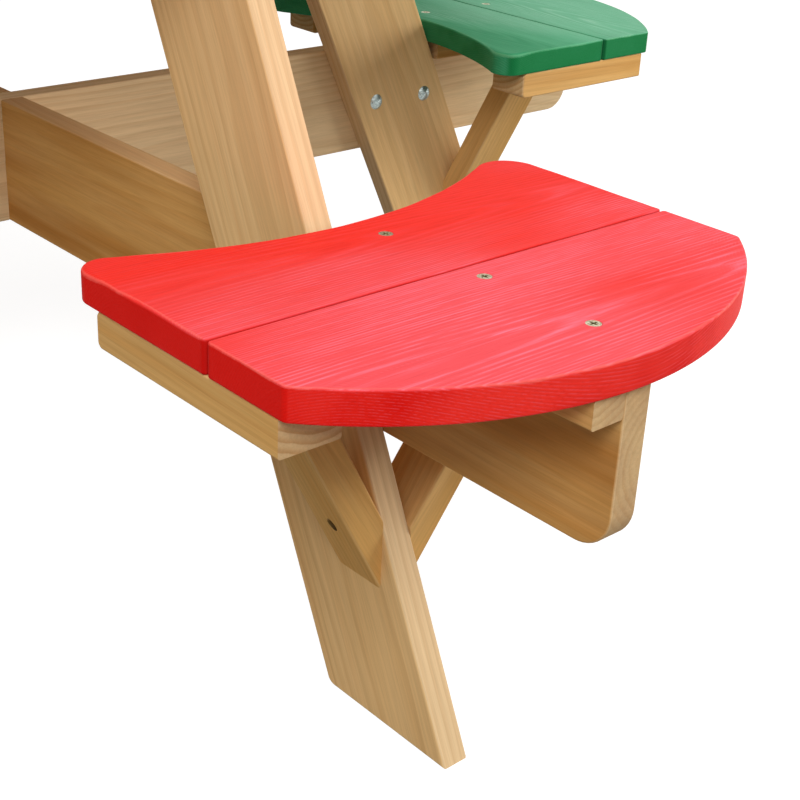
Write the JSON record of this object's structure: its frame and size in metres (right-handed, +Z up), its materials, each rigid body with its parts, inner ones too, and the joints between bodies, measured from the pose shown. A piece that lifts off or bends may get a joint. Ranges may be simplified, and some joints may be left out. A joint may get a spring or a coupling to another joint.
{
  "type": "round picnic table",
  "caption": "Children's wooden picnic table: round boarded top on splayed legs, with coloured seats on crossed bearers around it.",
  "frame": {"origin": "on the ground, below the centre of the round top", "axes": "+Z up, +X out along the red seat's bearer, +Y out along the green seat's bearer"},
  "size_m": [1.207, 1.207, 0.5],
  "materials": {
    "pine": "oiled softwood, satin",
    "red_stain": "red wood stain, satin",
    "green_stain": "green wood stain, satin",
    "blue_stain": "blue wood stain, satin",
    "yellow_stain": "yellow wood stain, satin",
    "zinc": "zinc plated steel",
    "yellow_zinc": "yellow zinc plated steel"
  },
  "bodies": {
    "root": {"bearer_x": "pine", "bearer_y": "pine", "top_rail_x": "pine", "top_rail_y": "pine", "red_leg": "pine", "red_seat_inner_board": "red_stain", "red_seat_outer_board": "red_stain", "red_seat_batten_leg_side": "pine", "red_seat_batten_far_side": "pine", "red_cleat": "pine", "red_brace_leg_side": "pine", "red_brace_far_side": "pine", "green_leg": "pine", "green_seat_inner_board": "green_stain", "green_seat_outer_board": "green_stain", "green_seat_batten_leg_side": "pine", "green_seat_batten_far_side": "pine", "green_cleat": "pine", "green_brace_leg_side": "pine", "green_brace_far_side": "pine", "blue_leg": "pine", "blue_seat_inner_board": "blue_stain", "blue_seat_outer_board": "blue_stain", "blue_seat_batten_leg_side": "pine", "blue_seat_batten_far_side": "pine", "blue_cleat": "pine", "blue_brace_leg_side": "pine", "blue_brace_far_side": "pine", "yellow_leg": "pine", "yellow_seat_inner_board": "yellow_stain", "yellow_seat_outer_board": "yellow_stain", "yellow_seat_batten_leg_side": "pine", "yellow_seat_batten_far_side": "pine", "yellow_cleat": "pine", "yellow_brace_leg_side": "pine", "yellow_brace_far_side": "pine", "top_board_1": "pine", "top_board_2": "pine", "top_board_3": "pine", "top_board_4": "pine", "top_board_5": "pine", "top_board_6": "pine", "top_board_7": "pine", "top_batten_a": "pine", "top_batten_b": "pine", "top_batten_c": "pine", "top_batten_d": "pine", "seat_screws": "yellow_zinc", "seat_batten_screws": "yellow_zinc", "cleat_screws": "yellow_zinc", "brace_screws": "yellow_zinc", "leg_bolts": "zinc", "leg_washers": "zinc", "leg_nuts": "zinc", "top_screws": "yellow_zinc", "top_batten_screws": "yellow_zinc"}
  },
  "joints": []
}
